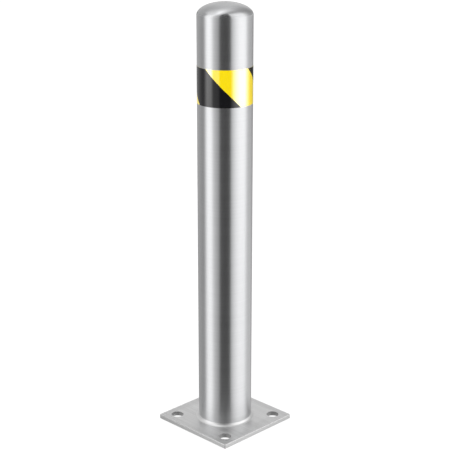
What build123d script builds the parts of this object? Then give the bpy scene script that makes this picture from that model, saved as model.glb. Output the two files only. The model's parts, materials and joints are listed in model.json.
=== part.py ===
from build123d import *
from math import degrees, pi
import os

# Fixed steel safety bollard: a capped stainless tube welded to a square bolt-down plate,
# with one turn of yellow and black reflective tape near the top.
#
# Millimetres. The origin is the centre of the plate's underside, +Z is up, and the plate's
# sides lie along X and Y.

# ---- driving dimensions ----
overall_height = 914.4  # 36 in, floor to the top of the dome
tube_diameter = 114.3  # 4 1/2 in outside
tube_wall = 3.0
dome_height = 26.0  # a half ellipse in section, outside
ellipse_handle = 0.5523  # length of a cubic curve's handles that draws a quarter ellipse
skirt_height = 12.0  # straight part of the cap below its dome

plate_side = 203.2  # 8 in
plate_thickness = 9.5  # 3/8 in
plate_corner_radius = 1.5
plate_edge_round = 0.9
plate_arris = 0.4  # break on the plate's lower edges
hole_spacing = 148.0  # centre to centre, along both sides
hole_diameter = 25.4  # 1 in, for 3/4 in anchors
hole_arris = 0.5

foot_weld_leg = 6.0
foot_weld_hollow = 1.3  # how far the blended fillet's face dips below a flat one
cap_weld_root = 1.2  # gap between tube and skirt at the bore
cap_weld_face = 4.8  # width of the ground-down bead outside

tape_width = 76.2  # 3 in
tape_drop = 127.0  # 5 in, from the top of the dome to the tape's upper edge
tape_thickness = 0.25
tape_overlap = 12.0  # length of the tape's end that lies over its start
ink_thickness = 0.1
stripe_length = 95.25  # 3 3/4 in, one colour measured along the tape
stripe_edge_angle = -49.5  # where a stripe's leading edge crosses mid height, about +Z from +X
tape_start_angle = -225.0  # where the tape's start lies, on the side away from the stripe edge

# ---- worked out from them ----
tube_radius = tube_diameter / 2
bore_radius = tube_radius - tube_wall
dome_base = overall_height - dome_height
weld_level = dome_base - skirt_height  # middle of the tube-to-cap weld
root_half = cap_weld_root / 2
face_half = cap_weld_face / 2
tube_height = weld_level - root_half - plate_thickness

tape_top = overall_height - tape_drop
tape_bottom = tape_top - tape_width
tape_surface = tube_radius + tape_thickness
lap_surface = tape_surface + tape_thickness
degrees_per_mm = degrees(1 / tube_radius)
stripe_arc = stripe_length * degrees_per_mm
stripe_lean = tape_width * degrees_per_mm  # turn of a 45 degree edge over the tape's width
overlap_arc = tape_overlap * degrees_per_mm
tape_end_angle = tape_start_angle + 360
lap_end_angle = tape_end_angle + overlap_arc
cut_margin = 3.0  # degrees that a cutting slice reaches past a stripe's own corners

os.makedirs("parts", exist_ok=True)

# ---- base plate ----
with BuildPart() as base_plate:
    with BuildSketch():
        RectangleRounded(plate_side, plate_side, plate_corner_radius)
    extrude(amount=plate_thickness)
    fillet(base_plate.faces().sort_by(Axis.Z)[-1].edges(), radius=plate_edge_round)
    chamfer(base_plate.faces().sort_by(Axis.Z)[0].edges(), length=plate_arris)
    with Locations(base_plate.faces().sort_by(Axis.Z)[-1]):
        with GridLocations(hole_spacing, hole_spacing, 2, 2):
            Hole(radius=hole_diameter / 2)
    hole_rims = base_plate.edges().filter_by(lambda edge: edge.is_closed)
    chamfer(hole_rims, length=hole_arris)

# ---- post tube, bevelled outside at its top end ----
with BuildPart() as post_tube:
    with BuildSketch(Plane.XZ):
        with BuildLine():
            Polyline(
                (bore_radius, plate_thickness),
                (tube_radius, plate_thickness),
                (tube_radius, weld_level - face_half),
                (bore_radius, weld_level - root_half),
                close=True,
            )
        make_face()
    revolve(axis=Axis.Z)

# ---- dome cap, bevelled to match at the bottom of its skirt ----
with BuildPart() as dome_cap:
    with BuildSketch(Plane.XZ):
        with BuildLine():
            outside = Bezier(
                (tube_radius, dome_base),
                (tube_radius, dome_base + ellipse_handle * dome_height),
                (ellipse_handle * tube_radius, overall_height),
                (0, overall_height),
            )
            inside = Bezier(
                (bore_radius, dome_base),
                (bore_radius, dome_base + ellipse_handle * (dome_height - tube_wall)),
                (ellipse_handle * bore_radius, overall_height - tube_wall),
                (0, overall_height - tube_wall),
            )
            Polyline(
                outside @ 0,
                (tube_radius, weld_level + face_half),
                (bore_radius, weld_level + root_half),
                inside @ 0,
            )
            Line(inside @ 1, outside @ 1)
        make_face()
    revolve(axis=Axis.Z)

# ---- butt weld between tube and cap, ground flush ----
with BuildPart() as cap_weld:
    with BuildSketch(Plane.XZ):
        with BuildLine():
            Polyline(
                (bore_radius, weld_level - root_half),
                (tube_radius, weld_level - face_half),
                (tube_radius, weld_level + face_half),
                (bore_radius, weld_level + root_half),
                close=True,
            )
        make_face()
    revolve(axis=Axis.Z)

# ---- fillet weld round the tube's foot ----
with BuildPart() as base_weld:
    with BuildSketch(Plane.XZ):
        with BuildLine():
            upper_toe = (tube_radius, plate_thickness + foot_weld_leg)
            lower_toe = (tube_radius + foot_weld_leg, plate_thickness)
            corner = (tube_radius, plate_thickness)
            SagittaArc(upper_toe, lower_toe, -foot_weld_hollow)
            Polyline(lower_toe, corner, upper_toe)
        make_face()
    revolve(axis=Axis.Z)


def ring_sector(inner_radius, outer_radius, start_angle, end_angle):
    """A slice of a flat ring about the origin."""
    with BuildSketch() as sector:
        with BuildLine():
            outer = CenterArc((0, 0), outer_radius, start_angle, end_angle - start_angle)
            inner = CenterArc((0, 0), inner_radius, start_angle, end_angle - start_angle)
            Line(inner @ 0, outer @ 0)
            Line(inner @ 1, outer @ 1)
        make_face()
    return sector.sketch


def stripe_ink(face_radius, foot_angle, first_angle, last_angle):
    """One 45 degree stripe on a tape face of this radius, cut off at two upright edges.

    foot_angle is where the stripe's leading edge starts at the bottom of the tape.
    """
    tape_foot = Plane.XY.offset(tape_bottom)
    lean_guide = Helix(
        pitch=2 * pi * tube_radius,
        height=tape_width,
        radius=tube_radius,
        center=(0, 0, tape_bottom),
        lefthand=True,
    )
    with BuildPart() as ink:
        with BuildLine() as rise:
            Line((0, 0, tape_bottom), (0, 0, tape_top))
        with BuildSketch(tape_foot):
            add(ring_sector(face_radius, face_radius + ink_thickness, foot_angle, foot_angle + stripe_arc))
        sweep(path=rise.wires()[0], binormal=lean_guide)
        with BuildSketch(tape_foot):
            add(ring_sector(bore_radius, face_radius + tape_thickness, first_angle, last_angle))
        extrude(amount=tape_width, mode=Mode.INTERSECT)
    return ink.part


def layer_ink(face_radius, layer_start, layer_end):
    """Every stripe that crosses one layer of the tape, between the layer's two ends."""
    inks = []
    for repeat in (-1, 0, 1):
        foot_angle = stripe_edge_angle + stripe_lean / 2 + (2 * repeat - 1) * stripe_arc
        first_angle = max(layer_start, foot_angle - stripe_lean - cut_margin)
        last_angle = min(layer_end, foot_angle + stripe_arc + cut_margin)
        if last_angle - first_angle > cut_margin:
            inks.append(stripe_ink(face_radius, foot_angle, first_angle, last_angle))
    return inks


# ---- black stripes printed on the tape's face: on the wrap, then on its lapped end ----
wrap_ink = layer_ink(tape_surface, tape_start_angle + overlap_arc, tape_end_angle)
lap_ink = layer_ink(lap_surface, tape_end_angle, lap_end_angle)

with BuildPart() as tape_stripes:
    add(wrap_ink)
    add(lap_ink)

# ---- yellow reflective film: one full turn, and the end lapped over the start ----
with BuildPart() as tape_film:
    with BuildSketch(Plane.XY.offset(tape_bottom)):
        Circle(tape_surface)
        Circle(tube_radius, mode=Mode.SUBTRACT)
    extrude(amount=tape_width)
    with BuildSketch(Plane.XY.offset(tape_bottom)):
        add(ring_sector(tape_surface, lap_surface, tape_end_angle, lap_end_angle))
    extrude(amount=tape_width)

# ---- labels and files ----
base_plate.part.label = "base_plate"
post_tube.part.label = "post_tube"
dome_cap.part.label = "dome_cap"
cap_weld.part.label = "cap_weld"
base_weld.part.label = "base_weld"
tape_film.part.label = "tape_film"
tape_stripes.part.label = "tape_stripes"

export_step(base_plate.part, "parts/base_plate.step")
export_step(post_tube.part, "parts/post_tube.step")
export_step(dome_cap.part, "parts/dome_cap.step")
export_step(cap_weld.part, "parts/cap_weld.step")
export_step(base_weld.part, "parts/base_weld.step")
export_step(tape_film.part, "parts/tape_film.step")
export_step(tape_stripes.part, "parts/tape_stripes.step")
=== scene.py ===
import json
from math import ceil, cos, degrees, pi, radians, sin, sqrt, tau

import bmesh
import bpy
from mathutils import Euler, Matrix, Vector
from mathutils.geometry import tessellate_polygon


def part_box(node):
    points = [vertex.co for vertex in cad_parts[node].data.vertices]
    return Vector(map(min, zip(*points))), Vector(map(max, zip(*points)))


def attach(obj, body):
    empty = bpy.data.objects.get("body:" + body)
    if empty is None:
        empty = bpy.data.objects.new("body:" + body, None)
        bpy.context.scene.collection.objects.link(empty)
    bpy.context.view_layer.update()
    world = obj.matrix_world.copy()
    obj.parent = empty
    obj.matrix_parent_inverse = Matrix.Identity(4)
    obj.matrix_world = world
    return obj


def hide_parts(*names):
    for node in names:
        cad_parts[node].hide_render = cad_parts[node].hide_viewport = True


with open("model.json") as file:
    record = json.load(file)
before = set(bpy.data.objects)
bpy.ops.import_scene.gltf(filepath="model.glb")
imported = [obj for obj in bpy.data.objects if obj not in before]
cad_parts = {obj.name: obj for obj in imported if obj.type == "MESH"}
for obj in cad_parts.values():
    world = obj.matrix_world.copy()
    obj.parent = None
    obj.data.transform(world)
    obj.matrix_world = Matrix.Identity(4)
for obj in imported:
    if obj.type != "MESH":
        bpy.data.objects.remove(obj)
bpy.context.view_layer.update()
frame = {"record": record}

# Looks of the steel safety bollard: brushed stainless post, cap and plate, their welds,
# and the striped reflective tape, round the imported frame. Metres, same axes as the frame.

MM = 0.001

# ---- sizes from the frame ----
plate_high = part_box("base_plate")[1]
tube_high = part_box("post_tube")[1]
cap_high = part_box("dome_cap")[1]
cap_weld_low, cap_weld_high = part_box("cap_weld")
foot_weld_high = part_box("base_weld")[1]
film_low, film_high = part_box("tape_film")
anchors = next(m for m in frame["record"]["mounts"] if m["kind"] == "bolt_pattern")["dims"]

PLATE_HALF = plate_high.x
PLATE_TOP = plate_high.z
TUBE_RADIUS = tube_high.x
FOOT_WELD_LEG = foot_weld_high.z - PLATE_TOP
WELD_LEVEL = (cap_weld_low.z + cap_weld_high.z) / 2
CAP_TOP = cap_high.z
HOLE_RADIUS = anchors["hole_r_mm"] * MM
HOLE_OFFSET = anchors["spacing_x_mm"] * MM / 2

# ---- sizes that only the design knows ----
TUBE_WALL = 3.0 * MM
DOME_HEIGHT = 26.0 * MM
CAP_WELD_ROOT = 1.2 * MM
CAP_WELD_FACE = cap_weld_high.z - cap_weld_low.z
FOOT_WELD_HOLLOW = 1.3 * MM
PLATE_CORNER = 1.5 * MM
PLATE_ROUND = 0.9 * MM
PLATE_ARRIS = 0.4 * MM
HOLE_ARRIS = 0.5 * MM
FILM_THICKNESS = 0.25 * MM
INK_THICKNESS = 0.1 * MM
TAPE_OVERLAP = 12.0 * MM
STRIPE_LENGTH = 95.25 * MM
STRIPE_EDGE = radians(-49.5)  # where a stripe's leading edge crosses the tape's mid height
TAPE_START = radians(-225.0)

SEGMENTS = 256  # round a full turn
MERGE_DISTANCE = 1e-7  # points nearer than this are one
DOME_BASE = CAP_TOP - DOME_HEIGHT
SHOULDER = 8.0 * MM  # height over which the head turns in from the skirt

# ---- mesh helpers ----
def add_piece(name, mesh, node):
    """Shows a mesh in place of one CAD node."""
    piece = bpy.data.objects.new(name, mesh)
    bpy.context.scene.collection.objects.link(piece)
    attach(piece, "root")
    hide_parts(node)
    return piece


def finish_mesh(name, bm, crease=35.0):
    """A mesh with outward faces, smooth but for edges sharper than crease, in degrees."""
    bmesh.ops.remove_doubles(bm, verts=bm.verts, dist=MERGE_DISTANCE)
    bmesh.ops.recalc_face_normals(bm, faces=bm.faces)
    mesh = bpy.data.meshes.new(name)
    bm.to_mesh(mesh)
    bm.free()
    mesh.shade_smooth()
    mesh.set_sharp_from_angle(angle=radians(crease))
    return mesh


def ring_of(bm, radius, height):
    """A level ring of vertices, or the single one on the axis."""
    if radius < MERGE_DISTANCE:
        return [bm.verts.new((0, 0, height))]
    turns = [tau * i / SEGMENTS for i in range(SEGMENTS)]
    return [bm.verts.new((radius * cos(t), radius * sin(t), height)) for t in turns]


def stitch(bm, a, b):
    """Faces between two closed loops of the same length, or between a loop and a point."""
    if len(a) < len(b):
        a, b = b, a
    for i in range(len(a)):
        j = (i + 1) % len(a)
        bm.faces.new([a[i], a[j], b[0]] if len(b) == 1 else [a[i], a[j], b[j], b[i]])


def lathe(name, section, closed=True):
    """Turns a section of (radius, height) points about the Z axis."""
    bm = bmesh.new()
    rings = [ring_of(bm, r, z) for r, z in section]
    for a, b in zip(rings, rings[1:]):
        stitch(bm, a, b)
    if closed:
        stitch(bm, rings[-1], rings[0])
    return finish_mesh(name, bm)


def steps(count):
    """0 to 1 in count equal steps, both ends included."""
    return [i / count for i in range(count + 1)]


# ---- material helpers ----
NOISE_ROUGHNESS = 0.55  # how much the noise's finer layers count


def new_material(name):
    """A material with its nodes, its links and its shader."""
    mat = bpy.data.materials.new(name)
    mat.use_nodes = True
    return mat, mat.node_tree.nodes, mat.node_tree.links, mat.node_tree.nodes["Principled BSDF"]


def stretched_noise(nodes, links, stretch, scale, detail):
    """Noise in the object's own space, stretched by a scale per axis; returns its value socket."""
    coords = nodes.new("ShaderNodeTexCoord")
    mapping = nodes.new("ShaderNodeMapping")
    mapping.inputs["Scale"].default_value = stretch
    noise = nodes.new("ShaderNodeTexNoise")
    noise.inputs["Scale"].default_value = scale
    noise.inputs["Detail"].default_value = detail
    noise.inputs["Roughness"].default_value = NOISE_ROUGHNESS
    links.new(coords.outputs["Object"], mapping.inputs["Vector"])
    links.new(mapping.outputs["Vector"], noise.inputs["Vector"])
    return noise.outputs["Fac"]


def spread(nodes, links, value, low, high, from_low=0.3, from_high=0.7):
    """Maps a noise value onto the range low to high."""
    node = nodes.new("ShaderNodeMapRange")
    node.inputs["From Min"].default_value = from_low
    node.inputs["From Max"].default_value = from_high
    node.inputs["To Min"].default_value = low
    node.inputs["To Max"].default_value = high
    links.new(value, node.inputs["Value"])
    return node.outputs["Result"]


def tint(nodes, links, value, dark, light):
    """A colour between dark and light, chosen by a value from 0 to 1."""
    mix = nodes.new("ShaderNodeMix")
    mix.data_type = "RGBA"
    mix.inputs["A"].default_value = (*dark, 1)
    mix.inputs["B"].default_value = (*light, 1)
    links.new(value, mix.inputs["Factor"])
    return mix.outputs["Result"]


def add_values(nodes, links, a, b, share):
    """a plus share times b."""
    node = nodes.new("ShaderNodeMath")
    node.operation = "MULTIPLY_ADD"
    node.inputs[1].default_value = share
    links.new(b, node.inputs[0])
    links.new(a, node.inputs[2])
    return node.outputs["Value"]


def bump(nodes, links, bsdf, height, distance):
    """Raises the shaded surface by up to distance where height is 1."""
    node = nodes.new("ShaderNodeBump")
    node.inputs["Distance"].default_value = distance
    node.inputs["Strength"].default_value = 1.0
    links.new(height, node.inputs["Height"])
    links.new(node.outputs["Normal"], bsdf.inputs["Normal"])


# ---- camera ----
CAMERA_DISTANCE = 2.537  # from the post's axis, level
CAMERA_HEIGHT = 1.275
CAMERA_AZIMUTH = radians(45.0)  # the plate's near corner points at it
CAMERA_PITCH = radians(18.05)  # down
camera_data = bpy.data.cameras.new("camera")
camera_data.lens = 101.7
camera_data.sensor_width = 36.0
camera_data.clip_end = 100.0
camera = bpy.data.objects.new("camera", camera_data)
camera.location = (
    CAMERA_DISTANCE * sin(CAMERA_AZIMUTH),
    -CAMERA_DISTANCE * cos(CAMERA_AZIMUTH),
    CAMERA_HEIGHT,
)
camera.rotation_euler = Euler((pi / 2 - CAMERA_PITCH, 0, CAMERA_AZIMUTH))
bpy.context.scene.collection.objects.link(camera)
bpy.context.scene.camera = camera

# ---- studio: a white room with tall soft panels and dark gaps, seen in the steel ----
# The front is the camera's side. Heights here are sines of the elevation, and depths run from -1
# in front of the post to 1 behind it.
PANELS = [  # bearing from the front in degrees, anticlockwise from above; brightness
    (-180, 0.10),
    (-160, 0.12),
    (-154, 0.62),
    (-145, 0.52),
    (-130, 0.50),
    (-104, 0.45),
    (-96, 0.52),
    (-86, 1.12),
    (-76, 1.46),
    (-60, 1.44),
    (-48, 0.96),
    (-38, 0.68),
    (-26, 0.50),
    (-21, 0.10),
    (22, 0.085),
    (27, 0.82),
    (45, 1.16),
    (62, 1.36),
    (88, 1.36),
    (104, 1.00),
    (114, 0.90),
    (135, 0.98),
    (148, 0.72),
    (156, 0.66),
    (161, 0.12),
    (180, 0.10),
]
GLARE = [  # the same, in a narrow band of the panels that only smooth surfaces pick out
    (-180, 0.60),
    (-130, 0.50),
    (-104, 0.26),
    (-94, 0.34),
    (-86, 1.40),
    (-77, 2.90),
    (-59, 2.60),
    (-49, 0.45),
    (-25, 0.35),
    (-21, 0.01),
    (24, 0.01),
    (32, 0.60),
    (46, 2.10),
    (62, 3.00),
    (88, 3.00),
    (100, 1.50),
    (112, 0.50),
    (124, 0.15),
    (150, 0.12),
    (180, 0.60),
]
CEILING = [  # how far to the right, from -1 to 1; brightness overhead
    (-1.00, 1.00),
    (-0.62, 1.00),
    (-0.42, 1.05),
    (-0.32, 1.30),
    (-0.20, 1.60),
    (-0.10, 1.38),
    (0.03, 0.95),
    (0.12, 0.60),
    (0.22, 0.45),
    (0.34, 0.48),
    (0.46, 0.75),
    (0.60, 1.25),
    (0.80, 1.20),
    (1.00, 1.00),
]
BACK_WALL = [  # the same, behind the post
    (-1.00, 0.50),
    (-0.33, 0.56),
    (-0.15, 0.66),
    (0.10, 0.74),
    (0.20, 0.66),
    (0.35, 0.45),
    (0.50, 0.37),
    (0.80, 0.45),
    (1.00, 0.50),
]
GLARE_RISE = (-0.255, -0.215)  # heights over which the band of glare fades in
GLARE_FALL = (-0.155, -0.115)
LOW_RISE = (-0.50, -0.15)  # heights over which the panels come up to full brightness
LOW_LEVEL = 0.84  # their brightness below that
CEILING_RISE = (0.55, 0.75)  # heights over which the ceiling takes over from the panels
CEILING_DEPTH = (-0.42, -0.12)  # and the depths
CEILING_SKEW = 0.49  # how far its bands lean from front to back
BACK_RISE = (-0.02, 0.10)  # heights over which the back wall takes over
BACK_DEPTH = (0.05, 0.65)
TOP_LEVEL = 3.0  # a ramp's colours stay within 1, so its brightness is scaled by this
SOFT_LIGHT = 1.85  # what falls on the dull surfaces
world = bpy.data.worlds.new("studio")
bpy.context.scene.world = world
world.use_nodes = True
nodes, links = world.node_tree.nodes, world.node_tree.links
nodes.clear()


def sky_math(operation, *values):
    """A maths node of the world; each value is a number or a socket."""
    node = nodes.new("ShaderNodeMath")
    node.operation = operation
    for socket, value in zip(node.inputs, values):
        if isinstance(value, (int, float)):
            socket.default_value = value
        else:
            links.new(value, socket)
    return node.outputs["Value"]


def sky_step(value, start, end):
    """0 before start, 1 after end, smooth between them."""
    node = nodes.new("ShaderNodeMapRange")
    node.interpolation_type = "SMOOTHSTEP"
    node.inputs["From Min"].default_value = start
    node.inputs["From Max"].default_value = end
    links.new(value, node.inputs["Value"])
    return node.outputs["Result"]


def sky_mix(share, a, b):
    """a where share is 0, b where it is 1."""
    part_a = sky_math("MULTIPLY", a, sky_math("SUBTRACT", 1.0, share))
    part_b = sky_math("MULTIPLY", b, share)
    return sky_math("ADD", part_a, part_b)


def sky_ramp(value, table):
    """Brightness from a table, whose first and last rows give the value's limits."""
    first, last = table[0][0], table[-1][0]
    node = nodes.new("ShaderNodeValToRGB")
    elements = node.color_ramp.elements
    for i, (place, level) in enumerate(table):
        position = (place - first) / (last - first)
        stop = elements[i] if i < 2 else elements.new(position)
        stop.position = position
        stop.color = (level / TOP_LEVEL, level / TOP_LEVEL, level / TOP_LEVEL, 1)
    share = sky_math("MULTIPLY_ADD", value, 1 / (last - first), -first / (last - first))
    links.new(share, node.inputs["Fac"])
    return sky_math("MULTIPLY", node.outputs["Color"], TOP_LEVEL)


def sky_fade(value, start, end):
    """1 before start, 0 after end."""
    return sky_math("SUBTRACT", 1.0, sky_step(value, start, end))


direction = nodes.new("ShaderNodeTexCoord")
turned = nodes.new("ShaderNodeVectorRotate")
turned.rotation_type = "Z_AXIS"
turned.inputs["Angle"].default_value = -CAMERA_AZIMUTH
links.new(direction.outputs["Generated"], turned.inputs["Vector"])
split = nodes.new("ShaderNodeSeparateXYZ")
links.new(turned.outputs["Vector"], split.inputs["Vector"])
side, back, height = split.outputs["X"], split.outputs["Y"], split.outputs["Z"]
bearing = sky_math("ARCTAN2", side, sky_math("MULTIPLY", back, -1.0))
bearing = sky_math("MULTIPLY", bearing, degrees(1))
glare = sky_math("MULTIPLY", sky_step(height, *GLARE_RISE), sky_fade(height, *GLARE_FALL))
room = sky_mix(glare, sky_ramp(bearing, PANELS), sky_ramp(bearing, GLARE))
raised = sky_math("MULTIPLY_ADD", sky_step(height, *LOW_RISE), 1 - LOW_LEVEL, LOW_LEVEL)
room = sky_math("MULTIPLY", room, raised)
leaned = sky_math("SUBTRACT", side, sky_math("MULTIPLY", back, CEILING_SKEW))
overhead = sky_math("MULTIPLY", sky_step(height, *CEILING_RISE), sky_step(back, *CEILING_DEPTH))
room = sky_mix(overhead, room, sky_ramp(leaned, CEILING))
behind = sky_math("MULTIPLY", sky_step(height, *BACK_RISE), sky_step(back, *BACK_DEPTH))
room = sky_mix(behind, room, sky_ramp(side, BACK_WALL))

path = nodes.new("ShaderNodeLightPath")
light = sky_mix(path.outputs["Is Glossy Ray"], SOFT_LIGHT, room)
light = sky_mix(path.outputs["Is Camera Ray"], light, 1.0)
background = nodes.new("ShaderNodeBackground")
links.new(light, background.inputs["Color"])
world_out = nodes.new("ShaderNodeOutputWorld")
links.new(background.outputs["Background"], world_out.inputs["Surface"])

# ---- floor ----
FLOOR_HALF = 40.0
FLOOR_SHADE = 0.1
FLOOR_GLOW = 0.9  # keeps it evenly pale, under the plate's holes too
floor_corners = [(-1, -1), (1, -1), (1, 1), (-1, 1)]
floor_points = [(x * FLOOR_HALF, y * FLOOR_HALF, 0) for x, y in floor_corners]
floor_mesh = bpy.data.meshes.new("floor")
floor_mesh.from_pydata(floor_points, [], [(0, 1, 2, 3)])
floor = bpy.data.objects.new("floor", floor_mesh)
bpy.context.scene.collection.objects.link(floor)
floor.visible_glossy = False
mat, nodes, links, bsdf = new_material("floor")
bsdf.inputs["Base Color"].default_value = (FLOOR_SHADE, FLOOR_SHADE, FLOOR_SHADE, 1)
bsdf.inputs["Roughness"].default_value = 0.9
bsdf.inputs["Specular IOR Level"].default_value = 0.0
bsdf.inputs["Emission Color"].default_value = (1, 1, 1, 1)
bsdf.inputs["Emission Strength"].default_value = FLOOR_GLOW
floor_mesh.materials.append(mat)

# ---- steel ----
FINE_GRAIN = 300.0  # brush marks per metre across the grain
FINE_DETAIL = 4.0  # layers of noise in them
BROAD_GRAIN = 30.0
BROAD_DETAIL = 2.0
BROAD_SHARE = 0.6  # how much the broad marks count beside the fine ones
GRAIN_STRETCH = 50.0  # how much longer than wide they are
GRAIN_RANGE = (0.55, 1.05)  # values of the two together that span the steel's range of tones
GRAIN_DEPTH = 0.01 * MM
ROUGHNESS_SPREAD = 0.1  # share by which the marks change the roughness, either way


def grain_noise(nodes, links, across, per_metre, detail):
    """Brush marks: noise that changes fast along one axis, X, Y or Z, and slowly along the others."""
    along = 1 / GRAIN_STRETCH
    stretch = [1.0 if axis == across else along for axis in "XYZ"]
    return stretched_noise(nodes, links, stretch, per_metre, detail)


def brushed_steel(name, base, roughness, across, anisotropy=0.0, turn=0.0, wear=0.035):
    """Brushed stainless steel with marks that lie side by side along the axis across.

    Its roughness comes back as a socket, for the caller to change or to link as it is.
    """
    mat, nodes, links, bsdf = new_material(name)
    fine = grain_noise(nodes, links, across, FINE_GRAIN, FINE_DETAIL)
    broad = grain_noise(nodes, links, across, BROAD_GRAIN, BROAD_DETAIL)
    marks = add_values(nodes, links, fine, broad, BROAD_SHARE)
    tone = spread(nodes, links, marks, 0.0, 1.0, *GRAIN_RANGE)
    dark = [c * (1 - wear) for c in base]
    light = [c * (1 + wear) for c in base]
    links.new(tint(nodes, links, tone, dark, light), bsdf.inputs["Base Color"])
    smooth = roughness * (1 - ROUGHNESS_SPREAD)
    rough = spread(nodes, links, marks, smooth, roughness * (1 + ROUGHNESS_SPREAD), *GRAIN_RANGE)
    bsdf.inputs["Metallic"].default_value = 1.0
    bsdf.inputs["Anisotropic"].default_value = anisotropy
    bsdf.inputs["Anisotropic Rotation"].default_value = turn
    bump(nodes, links, bsdf, fine, GRAIN_DEPTH)
    return mat, nodes, links, bsdf, rough


POST_TINT = (0.620, 0.625, 0.634)
POST_ROUGHNESS = 0.32
POST_ANISOTROPY = 0.9
ACROSS_THE_TURN = 0.25  # anisotropic rotation that blurs reflections up and down the post
HEAD_POLISH = 0.45  # how much smoother the spun head is than the tube


def post_steel(name):
    """Steel brushed round the post, smoother on the head above its shoulder."""
    mat, nodes, links, bsdf, rough = brushed_steel(
        name, POST_TINT, POST_ROUGHNESS, "Z", POST_ANISOTROPY, ACROSS_THE_TURN
    )
    coords = nodes.new("ShaderNodeTexCoord")
    level = nodes.new("ShaderNodeSeparateXYZ")
    links.new(coords.outputs["Object"], level.inputs["Vector"])
    shoulder_top = DOME_BASE + SHOULDER
    polish = spread(nodes, links, level.outputs["Z"], 1.0, 1 - HEAD_POLISH, DOME_BASE, shoulder_top)
    scaled = nodes.new("ShaderNodeMath")
    scaled.operation = "MULTIPLY"
    links.new(rough, scaled.inputs[0])
    links.new(polish, scaled.inputs[1])
    links.new(scaled.outputs["Value"], bsdf.inputs["Roughness"])
    return mat


def plain_steel(name, grey, roughness, wear=0.035):
    """Neutral steel with level marks and no anisotropy."""
    base = (grey, grey, grey)
    mat, nodes, links, bsdf, rough = brushed_steel(name, base, roughness, "Z", wear=wear)
    links.new(rough, bsdf.inputs["Roughness"])
    return mat


PLATE_TINT = (0.70, 0.70, 0.70)
PLATE_ROUGHNESS = 0.50
PLATE_WEAR = 0.10
HALO_EDGE = 26.0 * MM  # how far from the post the weld was dressed
HALO_MARKS = 500.0  # rings per metre
HALO_ROUGHNESS = (0.28, 0.46)


def plate_face_steel():
    """The plate's face: brushed along X, with rings of dressing marks round the post."""
    mat, nodes, links, bsdf, rough = brushed_steel(
        "plate_steel", PLATE_TINT, PLATE_ROUGHNESS, "Y", wear=PLATE_WEAR
    )
    coords = nodes.new("ShaderNodeTexCoord")
    level = nodes.new("ShaderNodeVectorMath")
    level.operation = "MULTIPLY"
    level.inputs[1].default_value = (1, 1, 0)
    links.new(coords.outputs["Object"], level.inputs[0])
    reach = nodes.new("ShaderNodeVectorMath")
    reach.operation = "LENGTH"
    links.new(level.outputs["Vector"], reach.inputs[0])
    rings = nodes.new("ShaderNodeTexNoise")
    rings.noise_dimensions = "1D"
    rings.inputs["Scale"].default_value = HALO_MARKS
    rings.inputs["Detail"].default_value = 2.0
    links.new(reach.outputs["Value"], rings.inputs["W"])
    halo = (TUBE_RADIUS + FOOT_WELD_LEG, TUBE_RADIUS + HALO_EDGE)
    near = spread(nodes, links, reach.outputs["Value"], 1.0, 0.0, *halo)
    ring_rough = spread(nodes, links, rings.outputs["Fac"], *HALO_ROUGHNESS)
    mix = nodes.new("ShaderNodeMix")
    mix.data_type = "FLOAT"
    links.new(near, mix.inputs["Factor"])
    links.new(rough, mix.inputs["A"])
    links.new(ring_rough, mix.inputs["B"])
    links.new(mix.outputs["Result"], bsdf.inputs["Roughness"])
    return mat


# ---- base plate ----
ROUND_STEPS = 5
CORNER_STEPS = 8
HOLE_SEGMENTS = 64
QUARTERS = ((1, 1), (-1, 1), (-1, -1), (1, -1))  # signs of x and y, anticlockwise
FACE, SHADED_EDGE, SHADED_BORE, ARRIS = range(4)  # the plate's materials, by slot
FLAT = 0.99  # a face lies level if its normal is steeper than this
UPRIGHT = 0.1  # and stands upright if its normal is shallower than this


def rounded_square(inset):
    """Outline of the plate, moved in by inset."""
    radius = PLATE_CORNER - inset
    centre = PLATE_HALF - PLATE_CORNER
    points = []
    for quarter, (side_x, side_y) in enumerate(QUARTERS):
        for t in steps(CORNER_STEPS):
            a = (quarter + t) * pi / 2
            points.append((side_x * centre + radius * cos(a), side_y * centre + radius * sin(a)))
    return points


def hole_outline(centre, growth):
    """Outline of a bolt hole, moved out by growth."""
    x, y = centre
    radius = HOLE_RADIUS + growth
    turns = [tau * i / HOLE_SEGMENTS for i in range(HOLE_SEGMENTS)]
    return [(x + radius * cos(a), y + radius * sin(a)) for a in turns]


def plate_slot(face):
    """Which of the plate's materials a face has."""
    steepness = abs(face.normal.z)
    if steepness > FLAT:
        return FACE
    if max(abs(face.center.x), abs(face.center.y)) < PLATE_HALF - 2 * PLATE_CORNER:
        return SHADED_BORE
    return SHADED_EDGE if steepness < UPRIGHT else ARRIS


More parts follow.
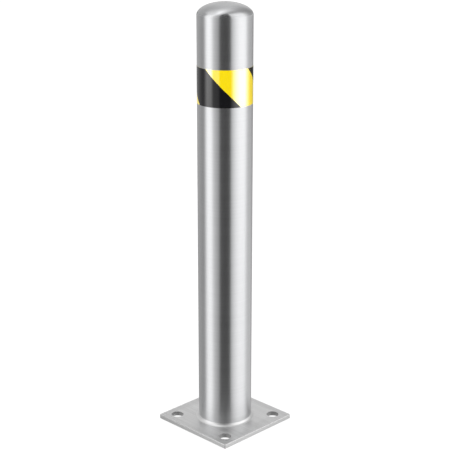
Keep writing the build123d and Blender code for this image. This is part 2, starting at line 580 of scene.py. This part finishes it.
def plate_mesh():
    """The plate with its rounded upper edge, broken lower edge and four broken-edged holes."""
    bm = bmesh.new()
    quarter_turn = [t * pi / 2 for t in steps(ROUND_STEPS)]
    rows = [(PLATE_ARRIS, 0.0), (0.0, PLATE_ARRIS)]
    rows += [(PLATE_ROUND * (1 - cos(a)), PLATE_TOP - PLATE_ROUND * (1 - sin(a))) for a in quarter_turn]
    hole_rows = [
        (HOLE_ARRIS, 0.0),
        (0.0, HOLE_ARRIS),
        (0.0, PLATE_TOP - HOLE_ARRIS),
        (HOLE_ARRIS, PLATE_TOP),
    ]
    walls = [[[(x, y, z) for x, y in rounded_square(inset)] for inset, z in rows]]
    for side_x, side_y in QUARTERS:
        centre = (side_x * HOLE_OFFSET, side_y * HOLE_OFFSET)
        walls.append([[(x, y, z) for x, y in hole_outline(centre, growth)] for growth, z in hole_rows])
    loops = [[[bm.verts.new(p) for p in row] for row in wall] for wall in walls]
    for wall in loops:
        for a, b in zip(wall, wall[1:]):
            stitch(bm, a, b)
    for end in (0, -1):
        rims = [wall[end] for wall in loops]
        flat = [v for rim in rims for v in rim]
        for triangle in tessellate_polygon([[v.co for v in rim] for rim in rims]):
            bm.faces.new([flat[i] for i in triangle])
    mesh = finish_mesh("base_plate_steel", bm)
    for face in mesh.polygons:
        face.material_index = plate_slot(face)
    return mesh


plate = add_piece("base_plate_steel", plate_mesh(), "base_plate")
plate.data.materials.append(plate_face_steel())
# The upright sides get a darker copy of the plate's steel, grey 0.48 against 0.70: painted shade.
plate.data.materials.append(plain_steel("edge_steel_painted_shade", grey=0.48, roughness=0.42))
# The hole walls are rougher, and their darker grey paints the shade inside the holes.
plate.data.materials.append(plain_steel("bore_steel_painted_shade", grey=0.47, roughness=0.75))
plate.data.materials.append(plain_steel("arris_steel", grey=0.72, roughness=0.26, wear=0.02))

# ---- post tube, cap and the ground weld between them ----
bore = TUBE_RADIUS - TUBE_WALL
tube_section = [
    (bore, PLATE_TOP),
    (TUBE_RADIUS, PLATE_TOP),
    (TUBE_RADIUS, WELD_LEVEL - CAP_WELD_FACE / 2),
    (bore, WELD_LEVEL - CAP_WELD_ROOT / 2),
]
tube = add_piece("post_tube_steel", lathe("post_tube_steel", tube_section), "post_tube")
tube.data.materials.append(post_steel("tube_steel"))

weld_section = [
    (bore, WELD_LEVEL - CAP_WELD_ROOT / 2),
    (TUBE_RADIUS, WELD_LEVEL - CAP_WELD_FACE / 2),
    (TUBE_RADIUS, WELD_LEVEL + CAP_WELD_FACE / 2),
    (bore, WELD_LEVEL + CAP_WELD_ROOT / 2),
]
cap_weld = add_piece("cap_weld_steel", lathe("cap_weld_steel", weld_section), "cap_weld")
cap_weld.data.materials.append(tube.data.materials[0])

DOME_STEPS = 40


def head_profile(inset):
    """The head's section, a quarter ellipse from the skirt up to the axis, moved in by inset."""
    points = []
    for t in steps(DOME_STEPS):
        turn = t * pi / 2
        r = (TUBE_RADIUS - inset) * cos(turn)
        points.append((r, DOME_BASE + (DOME_HEIGHT - inset) * sin(turn)))
    return points


cap_section = head_profile(TUBE_WALL)[::-1]
cap_section.append((bore, WELD_LEVEL + CAP_WELD_ROOT / 2))
cap_section.append((TUBE_RADIUS, WELD_LEVEL + CAP_WELD_FACE / 2))
cap_section += head_profile(0.0)
cap_mesh = lathe("dome_cap_steel", cap_section, closed=False)
cap = add_piece("dome_cap_steel", cap_mesh, "dome_cap")
cap.data.materials.append(post_steel("cap_steel"))

# ---- fillet weld round the foot ----
RIPPLES = 120
RIPPLE_HEIGHT = 0.06 * MM
RIPPLE_LAG = 1.6  # how far a ripple's ends trail its middle, as a phase in radians
POINTS_PER_RIPPLE = 6
BEAD_STEPS = 12
BEAD_SEGMENTS = RIPPLES * POINTS_PER_RIPPLE
BEAD_CREASE = 60.0
chord = FOOT_WELD_LEG * sqrt(2)  # from toe to toe, across the fillet's face
hollow_radius = (chord ** 2 / 4 + FOOT_WELD_HOLLOW ** 2) / (2 * FOOT_WELD_HOLLOW)


def bead_mesh():
    """A hollow, blended fillet that still shows a trace of the weld's ripples."""
    bm = bmesh.new()
    rings = []
    for i in range(BEAD_SEGMENTS):
        turn = tau * i / BEAD_SEGMENTS
        ring = []
        for t in steps(BEAD_STEPS):
            lag = RIPPLE_LAG * (2 * t - 1) ** 2
            ripple = abs(sin(RIPPLES * turn / 2 + lag)) * RIPPLE_HEIGHT * sin(pi * t)
            across = (t - 0.5) * chord
            dip = sqrt(hollow_radius ** 2 - across ** 2) - (hollow_radius - FOOT_WELD_HOLLOW)
            out = (ripple - dip) * sqrt(0.5)
            r = TUBE_RADIUS + FOOT_WELD_LEG * t + out
            z = PLATE_TOP + FOOT_WELD_LEG * (1 - t) + out
            ring.append(bm.verts.new((r * cos(turn), r * sin(turn), z)))
        ring.append(bm.verts.new((TUBE_RADIUS * cos(turn), TUBE_RADIUS * sin(turn), PLATE_TOP)))
        rings.append(ring)
    for a, b in zip(rings, rings[1:] + rings[:1]):
        stitch(bm, a, b)
    return finish_mesh("foot_weld_bead", bm, BEAD_CREASE)


bead = add_piece("foot_weld_bead", bead_mesh(), "base_weld")
# The bead is smoother, and its paler grey, 0.84, paints a brighter highlight on the weld.
bead.data.materials.append(plain_steel("weld_steel", grey=0.84, roughness=0.40, wear=0.02))

# ---- reflective tape ----
TAPE_LOW = film_low.z
TAPE_WIDTH = film_high.z - film_low.z
STRIPE_ROWS = 24
LAP_CLIMB = 4.0 * MM  # length over which the tape's end climbs onto its start
LAP_GAP = 0.01 * MM  # keeps the lapped end's underside clear of the start
stripe_arc = STRIPE_LENGTH / TUBE_RADIUS
stripe_lean = TAPE_WIDTH / TUBE_RADIUS  # turn of a 45 degree edge over the tape's width
tape_end = TAPE_START + tau
lap_end = tape_end + TAPE_OVERLAP / TUBE_RADIUS
face_start = lap_end - tau  # the tape's face in view runs from here to lap_end


def climb(a):
    """0 to 1 as the tape, at the polar angle a, rises onto its own start."""
    t = min(max(1 + (a - tape_end) * TUBE_RADIUS / LAP_CLIMB, 0.0), 1.0)
    return t * t * (3 - 2 * t)


def film_inner(a):
    """Radius of the film's underside at the polar angle a."""
    return TUBE_RADIUS + (FILM_THICKNESS + LAP_GAP) * climb(a)


def film_outer(a):
    """Radius of its outer face, which the stripes lie on."""
    return TUBE_RADIUS + FILM_THICKNESS + FILM_THICKNESS * climb(a)


def ink_outer(a):
    """Radius of the stripes' outer face."""
    return film_outer(a) + INK_THICKNESS


def wrapped_band(bm, inner, outer, left, right, rows):
    """A closed strip laid on the post, between two radii that depend on the polar angle.

    Its edges are at the angles left(t) and right(t), where t is the share of the tape's width,
    and rows lists the values of t that its mesh has a row at.
    """
    most = max(right(t) - left(t) for t in rows)
    columns = max(2, ceil(most / tau * SEGMENTS))
    grids = []
    for radius_at in (inner, outer):
        grid = []
        for t in rows:
            z = TAPE_LOW + TAPE_WIDTH * t
            row = []
            for s in steps(columns):
                a = left(t) + (right(t) - left(t)) * s
                row.append(bm.verts.new((radius_at(a) * cos(a), radius_at(a) * sin(a), z)))
            grid.append(row)
        grids.append(grid)
    for grid in grids:
        for low, high in zip(grid, grid[1:]):
            for i in range(columns):
                bm.faces.new([low[i], low[i + 1], high[i + 1], high[i]])
    rims = []
    for grid in grids:
        right_side = [row[-1] for row in grid[1:]]
        left_side = [row[0] for row in grid[-2:0:-1]]
        rims.append(grid[0] + right_side + grid[-1][-2::-1] + left_side)
    stitch(bm, rims[0], rims[1])


film_bm = bmesh.new()
wrapped_band(film_bm, film_inner, film_outer, lambda t: TAPE_START, lambda t: lap_end, steps(1))
film_mesh = finish_mesh("tape_film_yellow", film_bm)
film = add_piece("tape_film_yellow", film_mesh, "tape_film")


def stripe_edge(start):
    """Angles of a 45 degree edge that starts at start at the tape's foot, kept to the face in view."""
    return lambda t: min(max(start - stripe_lean * t, face_start), lap_end)


def stripe_rows(foot):
    """Rows for the stripe that starts at foot: equal steps, and one at each of its corners."""
    starts = (foot, foot + stripe_arc)
    corners = [(start - cut) / stripe_lean for start in starts for cut in (face_start, lap_end)]
    lowest = max(0.0, (foot - lap_end) / stripe_lean)
    highest = min(1.0, (foot + stripe_arc - face_start) / stripe_lean)
    between = [t for t in steps(STRIPE_ROWS) + corners if lowest < t < highest]
    return [lowest] + sorted(between) + [highest]


ink_bm = bmesh.new()
for repeat in (-1, 0, 1):
    foot = STRIPE_EDGE + stripe_lean / 2 + (2 * repeat - 1) * stripe_arc
    sides = stripe_edge(foot), stripe_edge(foot + stripe_arc)
    wrapped_band(ink_bm, film_outer, ink_outer, *sides, stripe_rows(foot))
ink_mesh = finish_mesh("tape_stripes_black", ink_bm)
ink = add_piece("tape_stripes_black", ink_mesh, "tape_stripes")

BEADS = 900.0  # noise cells per metre: the film's glass beads
BEAD_DETAIL = 1.0
CLOUDS = 18.0  # and its broad, faint unevenness
CLOUD_DETAIL = 2.0
CLOUD_DARKENING = 0.94
BEAD_ROUGHNESS = (0.10, 0.16)
BEAD_DEPTH = 0.004 * MM
FILM_YELLOW = (1.0, 0.765, 0.001)
FILM_BLACK = (0.005, 0.005, 0.006)


def tape_material(name, base, ior, coat_ior, coat):
    """Glossy reflective film: beads in its face, faint clouds in its colour, a clear coat."""
    mat, nodes, links, bsdf = new_material(name)
    beads = stretched_noise(nodes, links, (1, 1, 1), BEADS, BEAD_DETAIL)
    clouds = stretched_noise(nodes, links, (1, 1, 1), CLOUDS, CLOUD_DETAIL)
    dark = [c * CLOUD_DARKENING for c in base]
    cloudiness = spread(nodes, links, clouds, 0.0, 1.0)
    links.new(tint(nodes, links, cloudiness, dark, base), bsdf.inputs["Base Color"])
    links.new(spread(nodes, links, beads, *BEAD_ROUGHNESS), bsdf.inputs["Roughness"])
    bsdf.inputs["IOR"].default_value = ior
    bsdf.inputs["Coat Weight"].default_value = coat
    bsdf.inputs["Coat IOR"].default_value = coat_ior
    bsdf.inputs["Coat Roughness"].default_value = 0.04
    bump(nodes, links, bsdf, beads, BEAD_DEPTH)
    return mat


film.data.materials.append(tape_material("tape_yellow", FILM_YELLOW, ior=1.6, coat_ior=3.4, coat=1.0))
ink.data.materials.append(tape_material("tape_black", FILM_BLACK, ior=1.65, coat_ior=1.5, coat=0.0))

# ---- picture ----
bpy.context.scene.view_settings.view_transform = "Standard"
